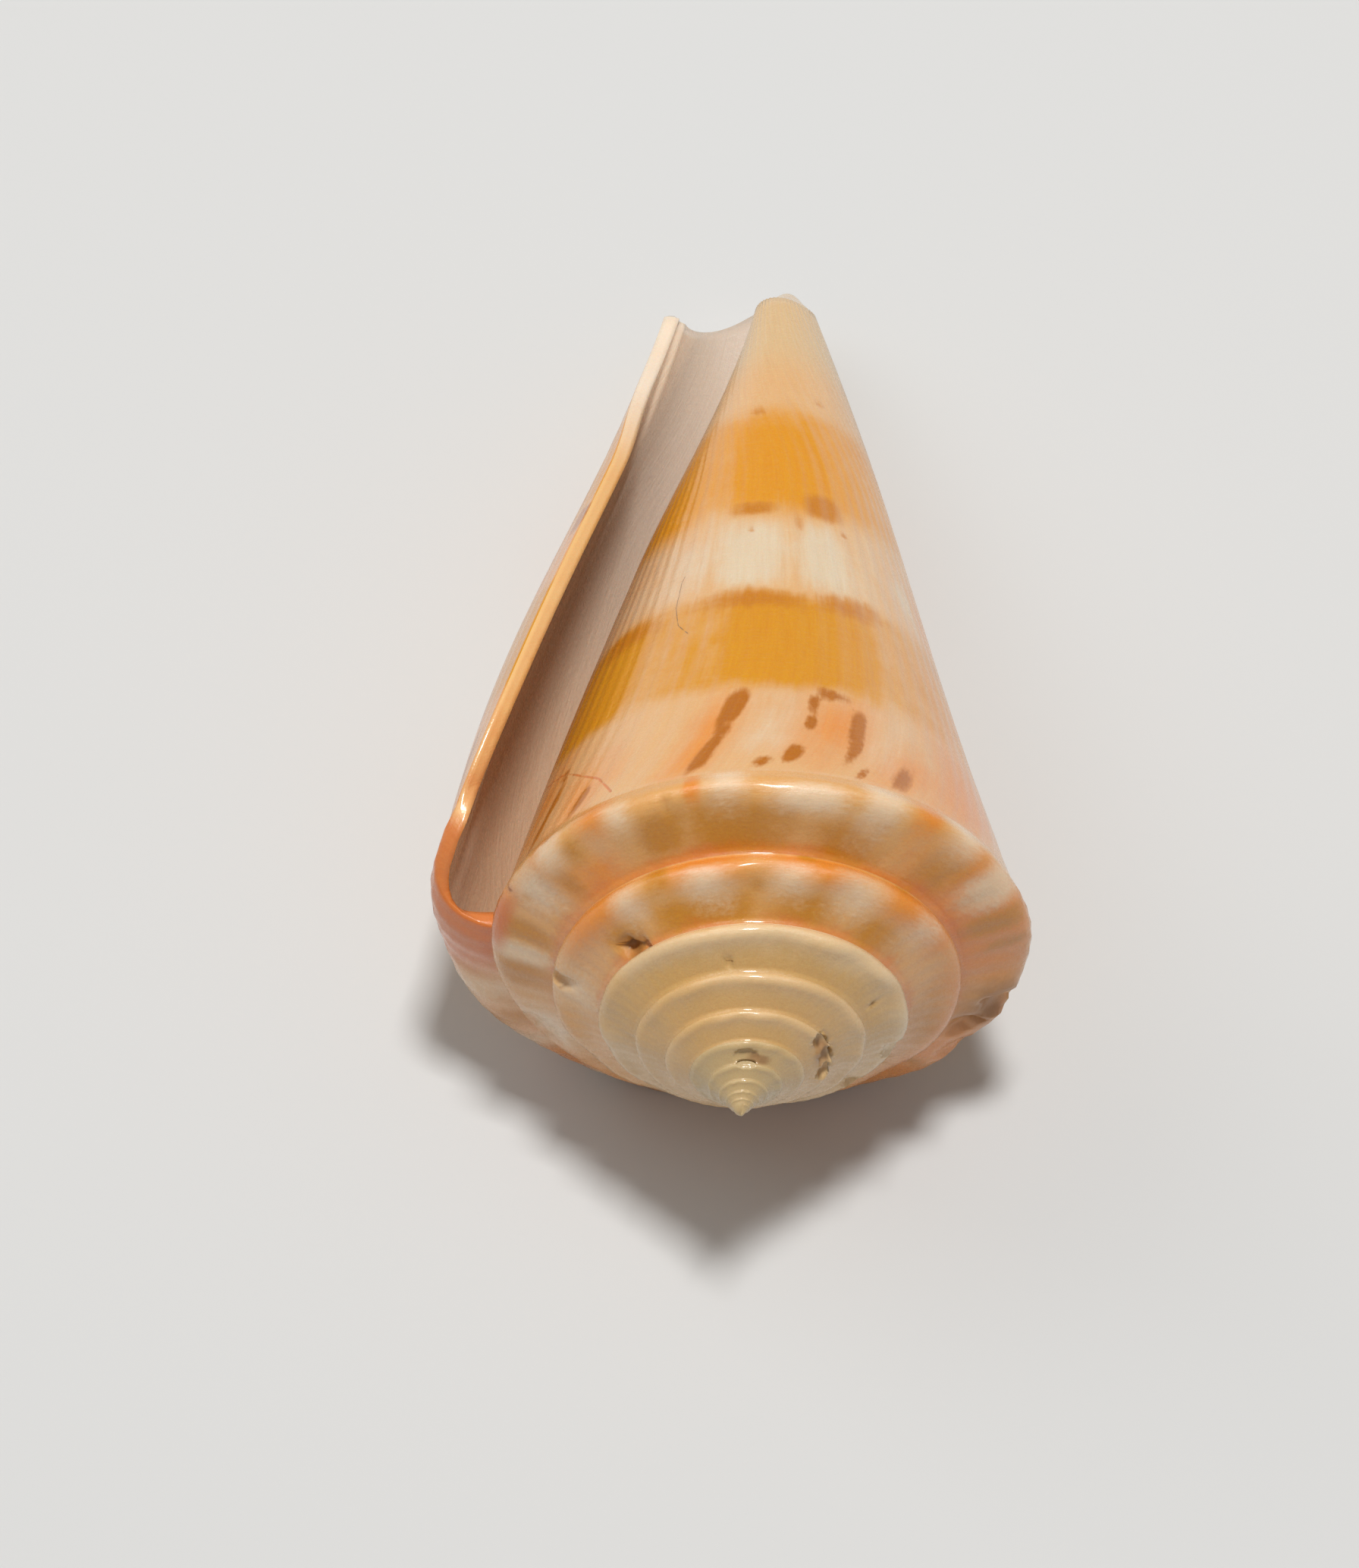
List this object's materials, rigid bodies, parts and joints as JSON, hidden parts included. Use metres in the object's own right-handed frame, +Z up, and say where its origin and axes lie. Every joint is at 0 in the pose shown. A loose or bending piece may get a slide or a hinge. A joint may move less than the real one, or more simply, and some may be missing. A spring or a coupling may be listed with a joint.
{
  "type": "conus vikingorum shell",
  "caption": "Cone snail shell lying on its side, with a stepped spire, a long slit aperture and a worn, banded surface.",
  "frame": {"origin": "bottom centre of the bounding box, on the surface that the shell lies on", "axes": "+Y along the length from the spire to the front end, +Z up, aperture facing up and toward -X"},
  "size_m": [0.0166, 0.0288, 0.0152],
  "materials": {
    "shell": "worn satin to glossy shell: orange, cream and brown bands and dashes over cream"
  },
  "bodies": {
    "root": {"shell": "shell"}
  },
  "joints": []
}
